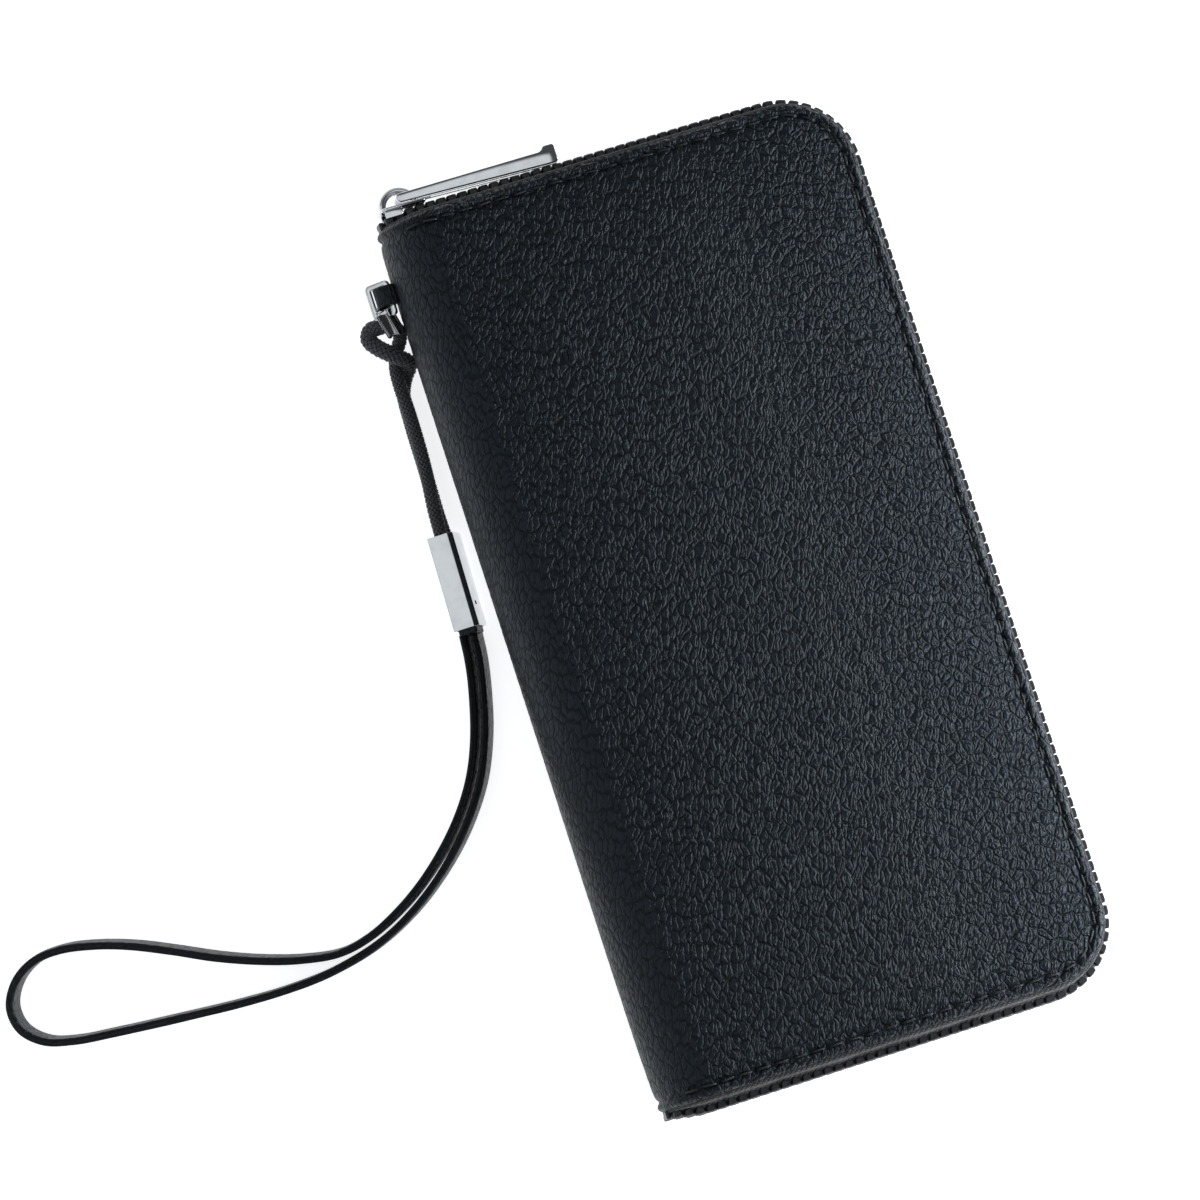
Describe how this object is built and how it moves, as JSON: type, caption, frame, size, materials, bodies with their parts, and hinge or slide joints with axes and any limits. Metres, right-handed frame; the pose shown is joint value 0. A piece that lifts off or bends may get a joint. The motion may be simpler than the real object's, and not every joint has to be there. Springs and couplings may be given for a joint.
{
  "type": "wristlet wallet",
  "caption": "Long zip-around leather wallet with rounded spine, card pockets, centre coin pocket and a leather wrist strap on a ring and link.",
  "frame": {"origin": "centre of the wallet's footprint on the outer face of the back cover", "axes": "+X from the spine to the free edge, +Y along the spine towards the closed slider, +Z out of the front cover"},
  "size_m": [0.2263, 0.2056, 0.025],
  "materials": {
    "leather_black": "pebbled semi-matte",
    "strap_leather": "pebbled semi-gloss",
    "cover_board": "matte",
    "lining_fabric": "fine woven",
    "zip_tape": "woven",
    "zip_teeth": "satin",
    "chrome": "polished",
    "cord_braid": "braided"
  },
  "bodies": {
    "back_half": {"back_cover_leather": "leather_black", "back_cover_board": "cover_board", "back_cover_lining": "lining_fabric", "back_card_panel": "leather_black", "back_card_pocket_1": "leather_black", "back_card_pocket_2": "leather_black", "back_card_pocket_3": "leather_black", "spine_leather": "leather_black", "spine_lining": "lining_fabric", "back_zip_tape": "zip_tape", "back_zip_teeth": "zip_teeth", "spine_zip_tape_top": "zip_tape", "spine_zip_tape_bottom": "zip_tape", "spine_zip_teeth_top": "zip_teeth", "spine_zip_teeth_bottom": "zip_teeth", "zip_stop_top": "chrome", "zip_stop_bottom": "chrome", "strap_tab": "strap_leather"},
    "front_cover": {"front_cover_leather": "leather_black", "front_cover_board": "cover_board", "front_cover_lining": "lining_fabric", "front_card_panel": "leather_black", "front_card_pocket_1": "leather_black", "front_card_pocket_2": "leather_black", "front_card_pocket_3": "leather_black", "front_zip_tape": "zip_tape", "front_zip_teeth": "zip_teeth"},
    "coin_pocket": {"coin_pocket_back_wall": "leather_black", "coin_pocket_rim": "lining_fabric", "coin_pocket_front_wall": "leather_black", "coin_pocket_edge_strip": "leather_black", "coin_zip_tape_inner": "zip_tape", "coin_zip_tape_outer": "zip_tape", "coin_zip_teeth_inner": "zip_teeth", "coin_zip_teeth_outer": "zip_teeth"},
    "coin_slider": {"coin_zip_slider": "chrome", "coin_zip_pull_tab": "chrome"},
    "main_slider": {"zip_slider": "chrome"},
    "main_puller": {"zip_puller": "chrome"},
    "ring": {"strap_ring": "chrome"},
    "link": {"strap_link": "chrome"},
    "wrist_strap": {"cord_knot": "cord_braid", "cord_leg_lower": "cord_braid", "cord_leg_upper": "cord_braid", "strap_clamp": "chrome", "clamp_pin": "chrome", "strap_glued_ends": "strap_leather", "strap_strip": "strap_leather"}
  },
  "joints": [
    {"name": "front_cover_open", "type": "hinge", "parent": "back_half", "child": "front_cover", "pos_m": [-0.039, 0, 0.025], "axis": [0, -1, 0], "range_deg": [0, 100]},
    {"name": "coin_pocket_turn", "type": "hinge", "parent": "back_half", "child": "coin_pocket", "pos_m": [-0.04, 0, 0.0125], "axis": [0, -1, 0], "range_deg": [0, 50]},
    {"name": "coin_slider_travel", "type": "slide", "parent": "coin_pocket", "child": "coin_slider", "axis": [0, -1, 0], "range_m": [0, 0.148]},
    {"name": "zip_slider_travel", "type": "slide", "parent": "back_half", "child": "main_slider", "axis": [1, 0, 0], "range_m": [0, 0.074]},
    {"name": "zip_puller_swing", "type": "hinge", "parent": "main_slider", "child": "main_puller", "pos_m": [-0.045, 0.1026, 0.0125], "axis": [0, 0, 1], "range_deg": [0, 160]},
    {"name": "strap_ring_swing", "type": "hinge", "parent": "back_half", "child": "ring", "pos_m": [-0.0532, 0.0833, 0.0125], "axis": [0, 1, 0], "range_deg": [0, 60]},
    {"name": "strap_link_swing", "type": "hinge", "parent": "ring", "child": "link", "pos_m": [-0.05511, 0.08, 0.0114], "axis": [-0.866, 0, -0.5], "range_deg": [0, 80]},
    {"name": "wrist_strap_swing", "type": "hinge", "parent": "link", "child": "wrist_strap", "pos_m": [-0.056, 0.0712, 0.0046], "axis": [0, 0, -1], "range_deg": [0, 50]}
  ],
  "couplings": [
    {"joint": "coin_pocket_turn", "follows": "front_cover_open", "ratio": 0.5}
  ]
}
